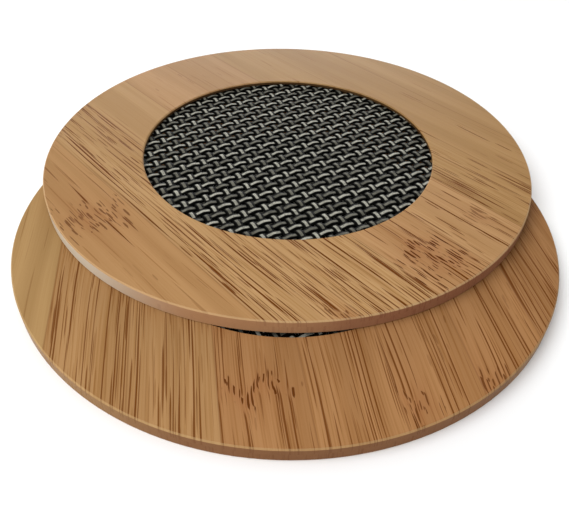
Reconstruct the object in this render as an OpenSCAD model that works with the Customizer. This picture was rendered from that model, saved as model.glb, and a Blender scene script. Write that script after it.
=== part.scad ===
// Stack of two thin round bamboo discs. Each disc is a flat ring, glued up from
// edge-jointed strips in two layers, with a coarse woven mesh clamped between the
// layers so that it lies recessed in the round window. The upper disc lies loose
// on the lower one. Millimetres, +Z up, the stack stands on Z = 0.

/* [Disc] */
// Outside diameter of each disc
disc_d = 110; // [104:1:120]
// Thickness of each disc
disc_t = 3; // [2.8:0.1:4]
// Thickness of a disc's face layer, its back layer takes the rest
face_t = 1.3; // [1.2:0.05:1.5]
// Diameter of the round window
window_d = 66.8; // [60:0.2:70]
// Bevel along the edges of the rings
edge_bevel = 0.25; // [0.1:0.05:0.4]
// How far the lower disc sits in front of the upper one
stack_offset = 22.2; // [0:0.1:40]

/* [Bamboo strips] */
// Width of a bamboo strip, the two outermost ones run on to the rim
strip_w = 14; // [12:0.5:15]
// Grain direction of the upper disc, turned from +X
upper_grain = -47.5; // [-90:0.5:90]
// Middle glue line of the upper disc, measured across the grain
upper_glue_line = 2; // [-4:0.5:4]
// Grain direction of the lower disc, turned from +X
lower_grain = -80.5; // [-90:0.5:90]
// Middle glue line of the lower disc, measured across the grain
lower_glue_line = -3.5; // [-4:0.5:4]

/* [Woven mesh] */
// Diameter over the ends of the mesh yarns, larger than the window
mesh_d = 72; // [71:0.5:80]
// Direction of the weft yarns, turned from +X
weave_angle = 29.5; // [-90:0.5:90]
// Distance from one weft yarn to the next
weft_pitch = 2.15; // [2:0.01:2.5]
// Distance from one warp yarn to the next
warp_pitch = 2.42; // [2:0.01:2.8]
// How far the middle warp yarn lies off the disc's centre, along the weft
warp_shift = -0.3; // [-1:0.1:1]
// How far the middle weft yarn lies off the disc's centre, across the weft
weft_shift = 0.3; // [-1:0.1:1]
// Width of a flattened weft yarn
weft_w = 1.5; // [1:0.05:1.6]
// Width of a flattened warp yarn
warp_w = 1.5; // [1:0.05:1.6]
// Thickness of a yarn
yarn_t = 0.45; // [0.3:0.05:0.6]

/* [Hidden] */
$fn = 180;
disc_r = disc_d / 2;
window_r = window_d / 2;
mesh_r = mesh_d / 2;
// The mesh is two yarns thick and lies half in each layer
back_t = disc_t - face_t;
// The rebate that takes the edge of the mesh leaves room round its yarn ends
rebate_r = mesh_r + norm([warp_shift, weft_shift]) + 0.1;
// The shortest yarns still pass this many others on each side of their middle
least_crossings = 2;
lower_at = [0, -stack_offset / 2, 0];
upper_at = [0, stack_offset / 2, disc_t];

// Section of one layer's ring: bevelled outer rim and window edge on top, and the
// rebate for the mesh underneath
module layer_section(thickness) {
    polygon([
        [rebate_r, 0],
        [disc_r, 0],
        [disc_r, thickness - edge_bevel],
        [disc_r - edge_bevel, thickness],
        [window_r + edge_bevel, thickness],
        [window_r, thickness - edge_bevel],
        [window_r, yarn_t],
        [rebate_r, yarn_t],
    ]);
}

// One whole layer of a disc, before it is divided into its strips
module face_layer() {
    translate([0, 0, back_t]) rotate_extrude() layer_section(face_t);
}

module back_layer() {
    translate([0, 0, back_t]) mirror([0, 0, 1]) rotate_extrude() layer_section(back_t);
}

// Space between two glue lines, counted 1 to 8 across the grain
module strip_space(index, glue_line) {
    low = index == 1 ? -disc_r - 1 : glue_line + (index - 5) * strip_w;
    high = index == 8 ? disc_r + 1 : glue_line + (index - 4) * strip_w;
    translate([-disc_r - 1, low, -1]) cube([disc_d + 2, high - low, disc_t + 2]);
}

module face_strip(index, glue_line) {
    color("burlywood") intersection() {
        face_layer();
        strip_space(index, glue_line);
    }
}

module back_strip(index, glue_line) {
    color("tan") intersection() {
        back_layer();
        strip_space(index, glue_line);
    }
}

// Crossings that a yarn has on each side of its middle, when it lies at
// distance off the centre and may not reach past the edge of the mesh
function crossings(off, width, pitch, flat) =
    floor((sqrt(max(0, mesh_r ^ 2 - (abs(off) + width / 2) ^ 2)) - flat / 2) / pitch);

// Height of a yarn's underside where it meets the yarn of the given number:
// neighbours along a yarn take turns, and so do neighbouring yarns
function level(number, is_weft) = abs(number) % 2 == (is_weft ? 1 : 0) ? yarn_t : 0;

// Side outline of a yarn: flat at each crossing, sloping from one to the next
function yarn_outline(number, is_weft, count, pitch, flat) = concat(
    [for (k = [-count:count]) each [
        [k * pitch - flat / 2, level(k + number, is_weft)],
        [k * pitch + flat / 2, level(k + number, is_weft)],
    ]],
    [for (k = [count:-1:-count]) each [
        [k * pitch + flat / 2, level(k + number, is_weft) + yarn_t],
        [k * pitch - flat / 2, level(k + number, is_weft) + yarn_t],
    ]]
);

module yarn(number, is_weft, off, width, pitch, flat) {
    count = crossings(off, width, pitch, flat);
    if (count >= least_crossings)
        translate([0, off, back_t - yarn_t]) rotate([90, 0, 0])
            linear_extrude(height = width, center = true)
                polygon(yarn_outline(number, is_weft, count, pitch, flat));
}

// Turns and shifts the weave in the window, the weft along its own X
module in_weave() {
    rotate([0, 0, weave_angle]) translate([warp_shift, weft_shift, 0]) children();
}

// Every second weft yarn, lying along the weave direction
module weft(first, tone) {
    reach = floor(mesh_r / weft_pitch);
    start = -reach + abs(reach + first) % 2;
    color(tone) in_weave()
        for (i = [start:2:reach])
            yarn(i, true, i * weft_pitch, weft_w, warp_pitch, warp_w);
}

// Every second warp yarn, lying square to the weft
module warp(first, tone) {
    reach = floor(mesh_r / warp_pitch);
    start = -reach + abs(reach + first) % 2;
    color(tone) in_weave() rotate([0, 0, 90])
        for (j = [start:2:reach])
            yarn(j, false, -j * warp_pitch, warp_w, weft_pitch, weft_w);
}

// Places a disc's pieces: the strips follow its grain, the mesh its weave
module in_lower(grain) {
    translate(lower_at) rotate([0, 0, grain]) children();
}

module in_upper(grain) {
    translate(upper_at) rotate([0, 0, grain]) children();
}

module lower_face_strip(index) {
    in_lower(lower_grain) face_strip(index, lower_glue_line);
}

module lower_back_strip(index) {
    in_lower(lower_grain) back_strip(index, lower_glue_line);
}

module upper_face_strip(index) {
    in_upper(upper_grain) face_strip(index, upper_glue_line);
}

module upper_back_strip(index) {
    in_upper(upper_grain) back_strip(index, upper_glue_line);
}

module lower_mesh_weft_light() { in_lower(0) weft(0, "darkgray"); }
module lower_mesh_weft_dark() { in_lower(0) weft(1, "dimgray"); }
module lower_mesh_warp_light() { in_lower(0) warp(0, "darkgray"); }
module lower_mesh_warp_dark() { in_lower(0) warp(1, "dimgray"); }
module upper_mesh_weft_light() { in_upper(0) weft(0, "darkgray"); }
module upper_mesh_weft_dark() { in_upper(0) weft(1, "dimgray"); }
module upper_mesh_warp_light() { in_upper(0) warp(0, "darkgray"); }
module upper_mesh_warp_dark() { in_upper(0) warp(1, "dimgray"); }

lower_face_strip(1);  // lower_face_strip_1
lower_face_strip(2);  // lower_face_strip_2
lower_face_strip(3);  // lower_face_strip_3
lower_face_strip(4);  // lower_face_strip_4
lower_face_strip(5);  // lower_face_strip_5
lower_face_strip(6);  // lower_face_strip_6
lower_face_strip(7);  // lower_face_strip_7
lower_face_strip(8);  // lower_face_strip_8
lower_back_strip(1);  // lower_back_strip_1
lower_back_strip(2);  // lower_back_strip_2
lower_back_strip(3);  // lower_back_strip_3
lower_back_strip(4);  // lower_back_strip_4
lower_back_strip(5);  // lower_back_strip_5
lower_back_strip(6);  // lower_back_strip_6
lower_back_strip(7);  // lower_back_strip_7
lower_back_strip(8);  // lower_back_strip_8
lower_mesh_weft_light();
lower_mesh_weft_dark();
lower_mesh_warp_light();
lower_mesh_warp_dark();
upper_face_strip(1);  // upper_face_strip_1
upper_face_strip(2);  // upper_face_strip_2
upper_face_strip(3);  // upper_face_strip_3
upper_face_strip(4);  // upper_face_strip_4
upper_face_strip(5);  // upper_face_strip_5
upper_face_strip(6);  // upper_face_strip_6
upper_face_strip(7);  // upper_face_strip_7
upper_face_strip(8);  // upper_face_strip_8
upper_back_strip(1);  // upper_back_strip_1
upper_back_strip(2);  // upper_back_strip_2
upper_back_strip(3);  // upper_back_strip_3
upper_back_strip(4);  // upper_back_strip_4
upper_back_strip(5);  // upper_back_strip_5
upper_back_strip(6);  // upper_back_strip_6
upper_back_strip(7);  // upper_back_strip_7
upper_back_strip(8);  // upper_back_strip_8
upper_mesh_weft_light();
upper_mesh_weft_dark();
upper_mesh_warp_light();
upper_mesh_warp_dark();
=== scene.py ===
"""Looks for a loose stack of two round bamboo discs with woven mesh windows."""

import math
from collections import namedtuple

import bpy
import numpy as np
from mathutils import Matrix, Vector


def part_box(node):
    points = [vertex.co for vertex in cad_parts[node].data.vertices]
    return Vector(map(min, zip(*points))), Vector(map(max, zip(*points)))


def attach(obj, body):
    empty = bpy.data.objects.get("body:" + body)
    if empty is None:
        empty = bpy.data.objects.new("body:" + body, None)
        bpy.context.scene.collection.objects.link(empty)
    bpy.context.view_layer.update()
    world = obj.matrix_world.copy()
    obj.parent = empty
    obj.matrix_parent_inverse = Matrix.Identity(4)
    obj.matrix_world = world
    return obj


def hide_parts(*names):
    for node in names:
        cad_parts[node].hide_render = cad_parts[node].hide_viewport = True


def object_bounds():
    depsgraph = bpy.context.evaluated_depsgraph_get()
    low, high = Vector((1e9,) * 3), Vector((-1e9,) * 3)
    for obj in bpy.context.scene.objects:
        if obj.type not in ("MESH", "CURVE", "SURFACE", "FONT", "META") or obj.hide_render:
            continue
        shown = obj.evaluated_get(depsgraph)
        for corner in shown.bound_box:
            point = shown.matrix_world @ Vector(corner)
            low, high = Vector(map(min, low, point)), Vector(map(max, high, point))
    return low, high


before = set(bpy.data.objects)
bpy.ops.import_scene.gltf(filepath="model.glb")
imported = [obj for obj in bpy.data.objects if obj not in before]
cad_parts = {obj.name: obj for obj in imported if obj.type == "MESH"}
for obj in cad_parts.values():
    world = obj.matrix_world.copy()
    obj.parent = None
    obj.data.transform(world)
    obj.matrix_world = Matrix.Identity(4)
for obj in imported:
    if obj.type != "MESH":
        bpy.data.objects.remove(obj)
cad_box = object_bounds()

MM = 0.001

# Bamboo discs, in millimetres: each is eight strips wide, with its middle glue line off centre
STRIPS = 8
STRIP_W = 14.0
DISC_R = 55.0

# Woven mesh, in millimetres: the weft runs along the weave direction, the warp square to it. A
# yarn is a little wider than the flat CAD yarns, to make up for its round sides
MESH_R = 36.0
WEAVE_ANGLE = math.radians(29.5)
WEFT_PITCH, WARP_PITCH = 2.15, 2.42
WARP_SHIFT, WEFT_SHIFT = -0.3, 0.3
YARN_W, YARN_T = 1.62, 0.45
LEAST_CROSSINGS = 2
RINGS_PER_CROSSING, SIDES = 6, 10
# How round a yarn's section is: 1 is an ellipse, and 0 would be a box
ROUNDNESS = 0.85

# A family of yarns: how far apart they lie, how far apart the yarns that they cross lie, half the
# length of the light stripe on a crown in crossings, partly a painted highlight, their direction
# from the weft's, and 1 or -1 for how they are counted and for which of them pass over at their
# middle, the odd or the even
Family = namedtuple("Family", "spacing pitch stripe direction sense")
WEFT = Family(WEFT_PITCH, WARP_PITCH, 0.60, 0.0, 1)
WARP = Family(WARP_PITCH, WEFT_PITCH, 0.46, math.pi / 2, -1)


def srgb(red, green, blue):
    """An everyday 0 to 255 colour as the linear colour that shaders use."""

    def linear(value):
        v = value / 255
        return v / 12.92 if v <= 0.04045 else ((v + 0.055) / 1.055) ** 2.4

    return (linear(red), linear(green), linear(blue), 1.0)


# Bamboo: its ground from dark to light, its fine fibres, and its faint and strong dark lines
GROUND_DARK, GROUND_LIGHT = srgb(152, 115, 76), srgb(171, 133, 92)
FINE_FIBRE = srgb(138, 96, 50)
FAINT_LINE, STRONG_LINE = srgb(112, 66, 22), srgb(94, 47, 7)
# The stain round a knot, the knot's own dashes, and the glue between strips
STAIN = srgb(140, 86, 52)
KNOT_LINE = srgb(80, 36, 3)
GLUE = srgb(110, 70, 40)
# The rim where the fibres run along it, and where they end in it at a slant or squarely. Its pale
# and brown tones are partly the grain's own and partly painted: painted light on the pale part
# and painted shade on the brown end grain
RIM_ALONG_AND_LIT = srgb(197, 188, 171)
RIM_SLANT = srgb(171, 129, 94)
RIM_ENDS_AND_SHADE = srgb(149, 101, 76)
# The wall of the window, dark brown as painted shade in its recess, and the outer bevel, pale as a
# painted highlight
WALL_PAINTED_SHADE = srgb(52, 32, 16)
BEVEL_PAINTED_HIGHLIGHT = srgb(205, 172, 130)
# Two tones each for the light and dark yarns, shown on their crowns partly as a painted highlight,
# their darker grains, and their near black sides, partly painted shade
LIGHT_YARN = (srgb(161, 159, 147), srgb(138, 136, 125))
DARK_YARN = (srgb(103, 101, 91), srgb(83, 81, 72))
YARN_GRAINS = srgb(56, 56, 50)
YARN_SIDE_AND_SHADE = srgb(3, 3, 2)


class Graph:
    """A node tree, built up by short calls that return sockets."""

    def __init__(self, tree):
        self.tree = tree

    def node(self, kind, **settings):
        made = self.tree.nodes.new(kind)
        for key, value in settings.items():
            setattr(made, key, value)
        return made

    def put(self, value, socket):
        if isinstance(value, bpy.types.NodeSocket):
            self.tree.links.new(value, socket)
        else:
            socket.default_value = value

    def math(self, operation, a, b=0.0):
        made = self.node("ShaderNodeMath", operation=operation)
        self.put(a, made.inputs[0])
        self.put(b, made.inputs[1])
        return made.outputs[0]

    def add(self, a, b):
        return self.math("ADD", a, b)

    def less(self, a, b):
        return self.math("SUBTRACT", a, b)

    def times(self, a, b):
        return self.math("MULTIPLY", a, b)

    def over(self, a, b):
        return self.math("DIVIDE", a, b)

    def larger(self, a, b):
        return self.math("MAXIMUM", a, b)

    def size(self, value):
        return self.math("ABSOLUTE", value)

    def step(self, value, low, high, start=0.0, end=1.0):
        """Goes smoothly from start, where value is low, to end, where it is high."""
        made = self.node("ShaderNodeMapRange", interpolation_type="SMOOTHSTEP")
        for socket, number in zip(made.inputs, (value, low, high, start, end)):
            self.put(number, socket)
        return made.outputs[0]

    def hill(self, value, centre, width):
        """A soft hill over value, 1 at its centre and nearly 0 a width away."""
        off = self.over(self.less(value, centre), width)
        return self.math("EXPONENT", self.times(self.times(off, off), -1.5))

    def vector(self, x, y, z):
        made = self.node("ShaderNodeCombineXYZ")
        for socket, number in zip(made.inputs, (x, y, z)):
            self.put(number, socket)
        return made.outputs[0]

    def split(self, vector):
        made = self.node("ShaderNodeSeparateXYZ")
        self.put(vector, made.inputs[0])
        return made.outputs

    def noise(self, vector, scale=1.0, detail=0.0):
        made = self.node("ShaderNodeTexNoise")
        self.put(vector, made.inputs["Vector"])
        made.inputs["Scale"].default_value = scale
        made.inputs["Detail"].default_value = detail
        return made.outputs["Fac"]

    def stretched_noise(self, x, y, z, detail=0.0):
        """Noise at x and y, each given as a value and its scale, and z."""
        return self.noise(self.vector(self.times(*x), self.times(*y), z), detail=detail)

    def random(self, x, y, seed):
        """Three random numbers, 0 to 1, that are the same all over one cell."""
        made = self.node("ShaderNodeTexWhiteNoise", noise_dimensions="3D")
        self.put(self.vector(x, y, seed), made.inputs["Vector"])
        return self.split(made.outputs["Color"])

    def mix(self, factor, a, b, blend="MIX"):
        made = self.node("ShaderNodeMix", data_type="RGBA", blend_type=blend)
        self.put(factor, made.inputs["Factor"])
        self.put(a, made.inputs["A"])
        self.put(b, made.inputs["B"])
        return made.outputs["Result"]

    def tinted(self, colour, tint, amount=1.0):
        return self.mix(amount, colour, (*tint, 1.0), "MULTIPLY")

    def from_coordinates(self, name):
        return self.node("ShaderNodeTexCoord").outputs[name]

    def local(self, centre, turn):
        """Object coordinates in millimetres from centre, with X turned to that direction."""
        made = self.node("ShaderNodeMapping")
        made.inputs["Scale"].default_value = (1 / MM,) * 3
        made.inputs["Rotation"].default_value = (0, 0, -turn)
        made.inputs["Location"].default_value = -(Matrix.Rotation(-turn, 3, "Z") @ centre) / MM
        self.put(self.from_coordinates("Object"), made.inputs["Vector"])
        return self.split(made.outputs["Vector"])

    def normal(self, turn):
        """The surface's own normal, with X turned to that direction."""
        made = self.node("ShaderNodeMapping", vector_type="NORMAL")
        made.inputs["Rotation"].default_value = (0, 0, -turn)
        self.put(self.from_coordinates("Normal"), made.inputs["Vector"])
        return self.split(made.outputs["Vector"])


# A kind of dash along the grain, in millimetres: the pitch of its rows, its longest length, and
# its largest width
Dash = namedtuple("Dash", "pitch length width")
LONG_DASH = Dash(0.85, 44.0, 0.35)
SHORT_DASH = Dash(0.65, 13.0, 0.29)
FAINT_DASH = Dash(0.5, 19.0, 0.27)
KNOT_DASH = Dash(0.7, 5.0, 0.40)
FLECK = Dash(0.65, 5.0, 0.28)
# How far neighbouring rows of dashes may be out of step, in lengths
IN_STEP, FAR_ASTRAY = 0.5, 9.0
# Depth of the fine relief of wood and yarn, in metres
RELIEF = 0.03 * MM


class Shader(Graph):
    """A material, with its surface shader and its own node tree."""

    def __init__(self, name):
        self.material = bpy.data.materials.new(name)
        self.material.use_nodes = True
        super().__init__(self.material.node_tree)
        self.surface = self.tree.nodes["Principled BSDF"]

    def colour(self, value):
        self.put(value, self.surface.inputs["Base Color"])

    def finish(self, roughness, specular=0.5):
        self.put(roughness, self.surface.inputs["Roughness"])
        self.surface.inputs["Specular IOR Level"].default_value = specular

    def relief(self, height):
        made = self.node("ShaderNodeBump")
        made.inputs["Distance"].default_value = RELIEF
        made.inputs["Strength"].default_value = 1.0
        self.put(height, made.inputs["Height"])
        self.put(made.outputs["Normal"], self.surface.inputs["Normal"])

    def dashes(self, along, across, dash, share, seed, stray):
        """Mask of the dashes of one kind, in about that share of their cells."""
        made = self.node("ShaderNodeGroup", node_tree=DASHES)
        values = (along, across, *dash, share, seed, stray)
        for socket, value in zip(made.inputs, values):
            self.put(value, socket)
        return made.outputs[0]


def dash_pattern():
    """Thin tapered dashes along the grain, as the node group that Shader.dashes fills in."""
    group = bpy.data.node_groups.new("dashes", "ShaderNodeTree")
    names = ("along", "across", *Dash._fields, "share", "seed", "stray")
    for name in names:
        group.interface.new_socket(name, in_out="INPUT", socket_type="NodeSocketFloat")
    group.interface.new_socket("mask", in_out="OUTPUT", socket_type="NodeSocketFloat")
    g = Graph(group)
    values = g.node("NodeGroupInput").outputs[: len(names)]
    along, across, pitch, length, width, share, seed, stray = values

    # Rows side by side across the grain, each cut into cells from a start of its own
    place = g.over(across, pitch)
    row = g.math("FLOOR", place)
    slide = g.times(g.random(row, 0.0, seed)[0], stray)
    reach = g.add(g.over(along, length), slide)
    cell = g.math("FLOOR", reach)

    # Each cell's dash has a random place across its row, a random length and a random width
    middle, half, fat = g.random(row, cell, g.add(seed, 0.5))
    from_middle = g.less(g.math("FRACT", place), g.step(middle, 0.0, 1.0, 0.2, 0.8))
    aside = g.times(g.size(from_middle), pitch)
    off = g.size(g.less(g.math("FRACT", reach), 0.5))
    taper = g.step(g.over(off, g.step(half, 0.0, 1.0, 0.18, 0.5)), 0.4, 1.0, 1.0, 0.0)
    edge = g.times(g.times(taper, g.step(fat, 0.0, 1.0, 0.4, 1.0)), g.times(width, 0.5))
    inside = g.step(g.less(edge, aside), -0.04, 0.03)

    # It shows only in its share of the cells
    chance = g.random(row, cell, g.add(seed, 0.7))[0]
    kept = g.step(g.less(share, chance), -0.04, 0.04)
    mask = g.times(g.times(inside, kept), g.step(taper, 0.0, 0.25))
    g.put(mask, g.node("NodeGroupOutput").inputs[0])
    return group


DASHES = dash_pattern()

# Where each strip's bamboo differs: the tint of its ground, how many dark lines it has at its two
# ends, how dark its knots are, and its knots, bands across the strip as (along, across, half
# length, half width) in millimetres
Strip = namedtuple("Strip", "tint start_lines end_lines knot_depth knots")
PLAIN, FEW, SOME, MANY, PACKED = 0.0, 0.3, 0.65, 1.0, 1.4
# Where along the grain the first amount of lines ends, and where the second is reached
LINES_FROM, LINES_TO = -0.1 * DISC_R, 0.9 * DISC_R
PALE, CREAM, GOLD = (1.0, 1.0, 1.0), (0.97, 0.98, 0.98), (1.02, 1.07, 1.06)
SALLOW, DULL = (0.92, 0.98, 0.90), (0.86, 0.88, 0.80)
WARM, AMBER, BROWN = (0.94, 0.92, 0.86), (0.90, 0.80, 0.72), (0.80, 0.71, 0.64)
SHADED_RIM = (0.62, 0.63, 0.50)
UPPER_STRIPS = [
    Strip(WARM, PLAIN, FEW, 0.70, [(-5, -47, 5, 8)]),
    Strip(GOLD, MANY, PACKED, 0.75, [(46, -28, 3, 3)]),
    Strip(GOLD, PLAIN, PACKED, 0.0, []),
    Strip(PALE, PLAIN, SOME, 1.0, [(44, -5, 3, 7), (49, -4, 3, 7)]),
    Strip(CREAM, PLAIN, SOME, 0.55, [(44, 12, 3, 3)]),
    Strip(DULL, PLAIN, MANY, 0.0, []),
    Strip(DULL, PLAIN, FEW, 0.0, []),
    Strip(DULL, PLAIN, PLAIN, 0.0, []),
]
LOWER_STRIPS = [
    Strip(SALLOW, PLAIN, PLAIN, 0.0, []),
    Strip(WARM, PACKED, PACKED, 0.0, []),
    Strip(WARM, MANY, MANY, 0.0, []),
    Strip(AMBER, SOME, MANY, 0.9, [(44, -12, 2, 7)]),
    Strip(AMBER, MANY, MANY, 0.0, []),
    Strip(AMBER, SOME, MANY, 0.75, [(49, 13, 3, 4)]),
    Strip(AMBER, SOME, MANY, 0.75, [(47, 25, 3, 5)]),
    Strip(BROWN, PACKED, PACKED, 0.0, []),
]

# A disc's grain direction in degrees, the across place of its middle glue line, its strips, the
# shade of its ground at their two ends, the tint of its rim, how wide, how long and how dark its
# fibre lines are, and its seed
Disc = namedtuple("Disc", "grain glue_line strips shades rim_tint line_width line_length line_depth seed")
DISCS = {
    "lower": Disc(
        grain=-80.5,
        glue_line=-3.5,
        strips=LOWER_STRIPS,
        shades=(1.0, 1.0),
        rim_tint=SHADED_RIM,
        line_width=0.86,
        line_length=1.8,
        line_depth=0.84,
        seed=20,
    ),
    "upper": Disc(
        grain=-47.5,
        glue_line=2.0,
        strips=UPPER_STRIPS,
        shades=(0.92, 1.06),
        rim_tint=PALE,
        line_width=1.03,
        line_length=1.0,
        line_depth=1.0,
        seed=3,
    ),
}

# Where a point lies along and across the grain, in millimetres, where it lies across the fibres,
# which wander a little, and a third place for its noises
Place = namedtuple("Place", "along across fibre depth")
# How much a point is at a knot and near one, and where it lies along from the knot's line
Knot = namedtuple("Knot", "at near along")


def place_in_grain(s, centre, direction, seed):
    """Where a point lies in one strip's grain."""
    along, across, up = s.local(centre, direction)
    wander = s.stretched_noise((along, 0.03), (across, 0.12), seed)
    fibre = s.add(across, s.times(wander, 1.6))
    return Place(along, across, fibre, s.add(s.times(up, 1.2), seed * 7.3))


def knots_nearby(s, place, knots, seed):
    """Where a point lies among the strip's knots, whose lines zigzag across it."""
    at, near, from_line = 0.0, 0.0, place.along
    zigzag = s.noise(s.vector(s.times(place.across, 0.28), seed * 1.7, 0.0), detail=1.0)
    line = s.add(place.along, s.times(s.less(zigzag, 0.5), 12.0))
    for along, across, length, width in knots:
        beside = s.hill(place.across, across, width)
        at = s.larger(at, s.times(s.hill(line, along, length), beside))
        near = s.larger(near, s.times(s.hill(place.along, along, 4 * length), beside))
        from_line = s.add(line, 0.5 * KNOT_DASH.length - along)
    return Knot(at, near, from_line)


def bamboo_ground(s, place, fine, amount, disc, strip):
    """Pale bamboo with soft lengthwise tones."""
    broad = s.stretched_noise((place.along, 0.010), (place.fibre, 0.28), place.depth, detail=1.0)
    ground = s.mix(s.step(broad, 0.32, 0.68, 0.2, 0.8), GROUND_DARK, GROUND_LIGHT)
    fibres = s.times(s.step(fine, 0.40, 0.75), s.add(s.times(amount, 0.25), 0.2))
    ground = s.tinted(s.mix(fibres, ground, FINE_FIBRE), strip.tint)
    return s.mix(1.0, ground, s.step(place.along, -DISC_R, DISC_R, *disc.shades), "MULTIPLY")


def bamboo_lines(s, place, amount, knot, disc, seed):
    """Masks of the dark fibre bundles: strong lines, faint ones, and short dashes at a knot."""
    crowd = s.stretched_noise((place.along, 0.012), (place.across, 0.45), seed * 3.1, detail=1.0)
    amount = s.times(amount, s.step(crowd, 0.38, 0.62, 0.4, 1.3))
    amount = s.add(amount, s.times(knot.near, 0.15))
    bend = s.stretched_noise((place.along, 0.22), (place.across, 0.30), seed * 2.3)
    fibre = s.add(place.fibre, s.times(s.times(bend, knot.at), 0.5))

    def lines(along, dash, share, own_seed, stray=FAR_ASTRAY):
        return s.dashes(along, fibre, dash, share, seed + own_seed, stray)

    def scaled(dash):
        return dash._replace(length=dash.length * disc.line_length, width=dash.width * disc.line_width)

    long = lines(place.along, scaled(LONG_DASH), s.times(amount, 0.62), 0.1)
    short = lines(place.along, scaled(SHORT_DASH), s.times(amount, 0.50), 0.2)
    faint = lines(place.along, FAINT_DASH, s.add(s.times(amount, 0.6), 0.08), 0.3)
    dashes = lines(knot.along, KNOT_DASH, s.times(knot.at, 1.6), 0.4, IN_STEP)
    flecks = lines(place.along, FLECK, s.times(knot.at, 0.7), 0.6)
    strong = s.larger(long, s.times(short, 0.9))
    strong = s.times(strong, s.step(knot.at, 0.1, 0.6, 1.0, 0.1))
    return strong, faint, s.larger(dashes, flecks)


def bamboo_edges(s, colour, place, low, high, direction, disc):
    """Glue lines, the bevel's painted highlight, and the rim, palest where the fibres run along it
    and browner on the end grain, partly the grain's own tones and partly painted light and painted
    shade, with the wall of the window dark brown as painted shade."""
    from_edge = s.math("MINIMUM", s.less(place.across, low), s.less(high, place.across))
    colour = s.mix(s.step(from_edge, 0.05, 0.22, 0.35, 0.0), colour, GLUE)
    facing = s.normal(direction)
    end_grain, level = s.size(facing[0]), s.size(facing[2])
    # Pale to brown round the rim: partly the grain's own tones, partly painted light and painted shade
    rim = s.mix(s.step(end_grain, 0.05, 0.55), RIM_ALONG_AND_LIT, RIM_SLANT)
    rim = s.tinted(s.mix(s.step(end_grain, 0.72, 0.95), rim, RIM_ENDS_AND_SHADE), disc.rim_tint)
    from_centre = s.add(s.times(place.along, place.along), s.times(place.across, place.across))
    outer = s.step(s.math("SQRT", from_centre), MESH_R, DISC_R)
    on_rim = s.step(level, 0.45, 0.62, 1.0, 0.0)
    # The window's wall gets a dark brown: painted shade in the recess
    colour = s.mix(s.times(on_rim, 0.85), colour, s.mix(outer, WALL_PAINTED_SHADE, rim))
    # A pale line on the outer bevel: a painted highlight
    on_bevel = s.times(s.step(level, 0.5, 0.65), s.step(level, 0.78, 0.93, 1.0, 0.0))
    bevel_highlight = s.tinted(BEVEL_PAINTED_HIGHLIGHT, disc.rim_tint, 0.6)
    return s.mix(s.times(s.times(on_bevel, outer), 0.35), colour, bevel_highlight)


def bamboo(name, centre, disc, low, high, strip, seed):
    """One strip's bamboo, between its low and high edges across the disc's grain direction."""
    s = Shader(name)
    direction = math.radians(disc.grain)
    place = place_in_grain(s, centre, direction, seed)
    knot = knots_nearby(s, place, strip.knots, seed)
    amount = s.step(place.along, LINES_FROM, LINES_TO, strip.start_lines, strip.end_lines)
    fine = s.stretched_noise((place.along, 0.035), (place.fibre, 3.2), place.depth, detail=2.0)
    strong, faint, dashes = bamboo_lines(s, place, amount, knot, disc, seed)

    colour = bamboo_ground(s, place, fine, amount, disc, strip)
    colour = s.mix(s.times(faint, 0.40), colour, FAINT_LINE)
    stain = s.add(s.times(knot.at, 0.26), s.times(knot.near, 0.18))
    colour = s.mix(s.times(stain, strip.knot_depth), colour, STAIN)
    colour = s.mix(s.times(strong, disc.line_depth), colour, STRONG_LINE)
    colour = s.mix(s.times(dashes, strip.knot_depth), colour, KNOT_LINE)
    s.colour(bamboo_edges(s, colour, place, low, high, direction, disc))

    rough = s.add(s.step(fine, 0.3, 0.7, 0.32, 0.38), s.times(strong, 0.12))
    s.finish(roughness=rough, specular=0.02)
    dents = s.add(s.times(strong, -0.6), s.times(dashes, -0.5))
    s.relief(s.add(s.times(fine, 0.35), dents))
    return s.material


def yarn_material(name, light, dark, centre):
    """Coated yarn: its tone along its crowns, partly a painted highlight, and near black down its sides
    and where it dives, partly painted shade.
    """
    s = Shader(name)
    along, across, up = s.local(centre, WEAVE_ANGLE)
    place = s.node("ShaderNodeAttribute", attribute_name="place").outputs["Vector"]
    flank, past_crown, stripe = s.split(place)
    turn = s.math("FRACT", s.add(s.times(past_crown, 0.5), 0.5))
    off_crown = s.times(s.size(s.less(turn, 0.5)), 2.0)
    on_stripe = s.step(s.less(stripe, off_crown), -0.05, 0.07)
    # Tone only on the crown's stripe, partly a painted highlight; near black elsewhere, partly painted
    # shade
    crown = s.times(s.step(flank, 0.31, 0.48, 1.0, 0.0), on_stripe)
    where = s.vector(along, across, s.times(up, 0.4))
    patch = s.noise(where, scale=0.45, detail=1.0)
    grains = s.noise(where, scale=3.5, detail=2.0)
    tone = s.mix(s.step(patch, 0.35, 0.68), light, dark)
    tone = s.mix(s.step(grains, 0.45, 0.70, 0.0, 0.6), tone, YARN_GRAINS)
    s.colour(s.mix(crown, YARN_SIDE_AND_SHADE, tone))
    s.finish(roughness=0.6, specular=0.04)
    s.relief(grains)
    return s.material


def wave(position):
    """Height of a yarn's middle line, -1 to 1: a hump over each crossing, nearly level between."""
    c = np.cos(np.pi * position)
    return 0.6 * c + 0.4 * c**3


def squared(circular):
    """A sine or cosine, made a little squarer."""
    return np.sign(circular) * np.abs(circular) ** ROUNDNESS


def tube_faces(rings):
    """Sides and two ends of a tube, whose corners come ring by ring."""
    faces = []
    for ring in range(rings - 1):
        for k in range(SIDES):
            a, b = ring * SIDES + k, ring * SIDES + (k + 1) % SIDES
            faces.append((a, a + SIDES, b + SIDES, b))
    faces.append(tuple(range(SIDES)))
    faces.append(tuple((rings - 1) * SIDES + k for k in reversed(range(SIDES))))
    return faces


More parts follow.
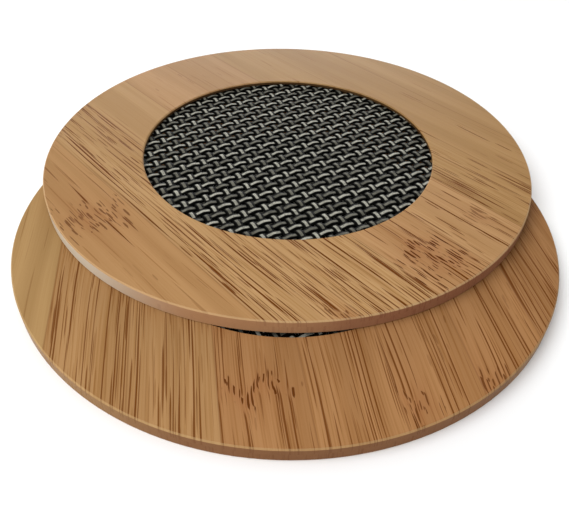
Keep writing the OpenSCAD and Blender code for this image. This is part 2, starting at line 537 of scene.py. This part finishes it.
def yarn_tube(number, family, rng):
    """Corners, faces and places of one woven yarn, with its own length along X, in millimetres."""
    offset = family.sense * number * family.spacing
    reach = math.sqrt(max(0.0, MESH_R**2 - (abs(offset) + YARN_W / 2) ** 2)) - YARN_W / 2
    crossings = math.floor(reach / family.pitch)
    if crossings < LEAST_CROSSINGS:
        return None

    # Its middle line: sign is 1 where it passes over at its middle
    half = crossings + 0.5 * YARN_W / family.pitch
    rings = round(2 * half * RINGS_PER_CROSSING) + 1
    t = np.linspace(-half, half, rings)
    sign = family.sense * (-1.0 if number % 2 == 0 else 1.0)
    lift = 0.5 * YARN_T
    x = t * family.pitch
    z = sign * lift * wave(t)
    sway = 0.05 * np.sin(x * rng.uniform(0.15, 0.3) + rng.uniform(0, 6)) + rng.normal(0, 0.02)
    wide = YARN_W / 2 * (1 + 0.05 * np.sin(x * rng.uniform(0.4, 0.7) + rng.uniform(0, 6)))

    # The rings of corners round it, square to its slope
    angle = np.linspace(0, 2 * np.pi, SIDES, endpoint=False) + np.pi / SIDES
    round_y, round_z = squared(np.cos(angle)), squared(np.sin(angle))
    slope = np.gradient(z, x)
    norm = np.sqrt(1 + slope**2)
    rise = lift * round_z[None, :]
    corners = np.stack(
        [
            x[:, None] - rise * (slope / norm)[:, None],
            offset + sway[:, None] + wide[:, None] * round_y[None, :],
            z[:, None] + rise / norm[:, None],
        ],
        axis=-1,
    ).reshape(-1, 3)

    # For the material: how far down its side, crossings past a crown, and the stripe's length
    on_top = round_z[None, :] > 0
    past_crown = t[:, None] + (0.0 if sign > 0 else 1.0) + np.where(on_top, 0.0, 1.0)
    flank = np.broadcast_to(np.abs(round_y), past_crown.shape)
    stripe = np.full(past_crown.shape, family.stripe)
    places = np.stack([flank, past_crown, stripe], axis=-1).reshape(-1, 3)
    return corners, tube_faces(rings), places


def turned(points, angle):
    """Points turned about Z."""
    c, s = math.cos(angle), math.sin(angle)
    return points @ np.array([[c, s, 0], [-s, c, 0], [0, 0, 1]])


def woven_mesh(name, centre, light, dark, seed):
    """The whole mesh of one disc: every weft and warp yarn, each a closed tube."""
    rng = np.random.default_rng(seed)
    corners, faces, tones, places = [], [], [], []
    count = 0
    for family in (WEFT, WARP):
        most = math.floor(MESH_R / family.spacing)
        for number in range(-most, most + 1):
            made = yarn_tube(number, family, rng)
            if made is None:
                continue
            points = turned(made[0], family.direction) + np.array([WARP_SHIFT, WEFT_SHIFT, 0])
            corners.append(turned(points, WEAVE_ANGLE))
            faces.extend(tuple(i + count for i in f) for f in made[1])
            tones.extend([number % 2] * len(made[1]))
            places.append(made[2])
            count += len(made[0])
    points = np.concatenate(corners) * MM + np.array(centre)
    data = bpy.data.meshes.new(name)
    data.from_pydata(points.tolist(), [], faces)
    data.materials.append(light)
    data.materials.append(dark)
    data.polygons.foreach_set("material_index", tones)
    data.polygons.foreach_set("use_smooth", [True] * len(data.polygons))
    place = data.attributes.new("place", "FLOAT_VECTOR", "POINT")
    place.data.foreach_set("vector", np.concatenate(places).ravel())
    data.update()
    piece = bpy.data.objects.new(name, data)
    bpy.context.scene.collection.objects.link(piece)
    return piece


def span(nodes):
    """Lowest and highest corner of several CAD nodes together."""
    boxes = [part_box(n) for n in nodes]
    low = Vector(min(b[0][i] for b in boxes) for i in range(3))
    high = Vector(max(b[1][i] for b in boxes) for i in range(3))
    return low, high


def dress_strips(name, disc, centre):
    """Gives one disc's strips their bamboo, with its own pattern in each layer."""
    for index, strip in enumerate(disc.strips, start=1):
        far_line = index - STRIPS // 2
        low = disc.glue_line + (far_line - 1) * STRIP_W if index > 1 else -DISC_R - 1
        high = disc.glue_line + far_line * STRIP_W if index < STRIPS else DISC_R + 1
        for layer, layer_seed in (("face", 0), ("back", 50)):
            node = f"{name}_{layer}_strip_{index}"
            seed = disc.seed + index + layer_seed
            looks = bamboo(f"bamboo_{node}", centre, disc, low, high, strip, seed)
            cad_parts[node].data.materials.clear()
            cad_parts[node].data.materials.append(looks)


def dress_disc(name, disc):
    """Gives one disc its bamboo and its woven mesh."""
    members = [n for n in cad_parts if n.startswith(name + "_")]
    low, high = span(members)
    centre = (low + high) / 2
    dress_strips(name, disc, centre)
    mesh_nodes = [n for n in members if "_mesh_" in n]
    mesh_low, mesh_high = span(mesh_nodes)
    middle = Vector((centre.x, centre.y, (mesh_low.z + mesh_high.z) / 2))
    light = yarn_material(f"{name}_yarn_light", *LIGHT_YARN, middle)
    dark = yarn_material(f"{name}_yarn_dark", *DARK_YARN, middle)
    mesh = woven_mesh(f"{name}_woven_mesh", middle, light, dark, disc.seed)
    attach(mesh, f"{name}_disc")
    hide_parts(*mesh_nodes)


# The white surround: its strength all round and low at the back, and the Y of a unit direction
# where the back starts and where it has its full strength
ROOM_LIGHT, BACK_LIGHT = 0.6, 9.5
BACK_STARTS, BACK_FULL = 0.84, 0.98
# The lamp: its place from the middle of the discs and its size in metres, and its power in watts
LAMP_AT, LAMP_SIZE, LAMP_POWER = (-0.37, -0.22, 0.44), 0.6, 3.5


def pale_floor():
    bpy.ops.mesh.primitive_plane_add(size=6.0, location=(0, 0, cad_box[0].z))
    floor = bpy.context.object
    floor.name = "floor"
    s = Shader("pale_floor")
    s.colour((0.92, 0.92, 0.92, 1.0))
    s.finish(roughness=0.9)
    floor.data.materials.append(s.material)


def white_surround():
    """A white surround that is brighter at the back."""
    world = bpy.data.worlds.new("studio")
    bpy.context.scene.world = world
    world.use_nodes = True
    g = Graph(world.node_tree)
    direction = g.split(g.from_coordinates("Generated"))
    strength = g.step(direction["Y"], BACK_STARTS, BACK_FULL, ROOM_LIGHT, BACK_LIGHT)
    background = g.tree.nodes["Background"]
    g.put(strength, background.inputs["Strength"])
    g.put((1.0, 1.0, 1.0, 1.0), background.inputs["Color"])


def soft_lamp(centre):
    """One large soft lamp, high at the front left."""
    data = bpy.data.lights.new("left_lamp", "AREA")
    data.shape = "DISK"
    data.size = LAMP_SIZE
    data.energy = LAMP_POWER
    lamp = bpy.data.objects.new("left_lamp", data)
    lamp.location = centre + Vector(LAMP_AT)
    lamp.rotation_euler = (centre - lamp.location).to_track_quat("-Z", "Y").to_euler()
    bpy.context.scene.collection.objects.link(lamp)


# The camera: its place from the middle of the upper disc's top in millimetres, how far it looks
# down and is rolled, and its lens for a sensor 36 mm wide
CAMERA_AT = Vector((-0.16, -124.3, 76.95))
CAMERA_DOWN, CAMERA_ROLL = math.radians(42.64), math.radians(1.5)
LENS, SENSOR_W = 38.8, 36.0


def camera(upper_top):
    """The photographer's view: close, a little above the discs, looking along +Y and down."""
    data = bpy.data.cameras.new("camera")
    data.sensor_width = SENSOR_W
    data.lens = LENS
    data.clip_start = 5 * MM
    view = bpy.data.objects.new("camera", data)
    ahead = Vector((0, math.cos(CAMERA_DOWN), -math.sin(CAMERA_DOWN)))
    right = Vector((1, 0, 0))
    above = right.cross(ahead)
    x = math.cos(CAMERA_ROLL) * right + math.sin(CAMERA_ROLL) * above
    y = -math.sin(CAMERA_ROLL) * right + math.cos(CAMERA_ROLL) * above
    view.matrix_world = Matrix((x, y, -ahead)).transposed().to_4x4()
    view.location = upper_top + CAMERA_AT * MM
    bpy.context.scene.collection.objects.link(view)
    bpy.context.scene.camera = view


upper_low, upper_high = span([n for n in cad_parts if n.startswith("upper_")])
upper_middle = (upper_low + upper_high) / 2
camera(Vector((upper_middle.x, upper_middle.y, upper_high.z)))
pale_floor()
white_surround()
soft_lamp((cad_box[0] + cad_box[1]) / 2)
bpy.context.scene.view_settings.view_transform = "Standard"
for name, disc in DISCS.items():
    dress_disc(name, disc)
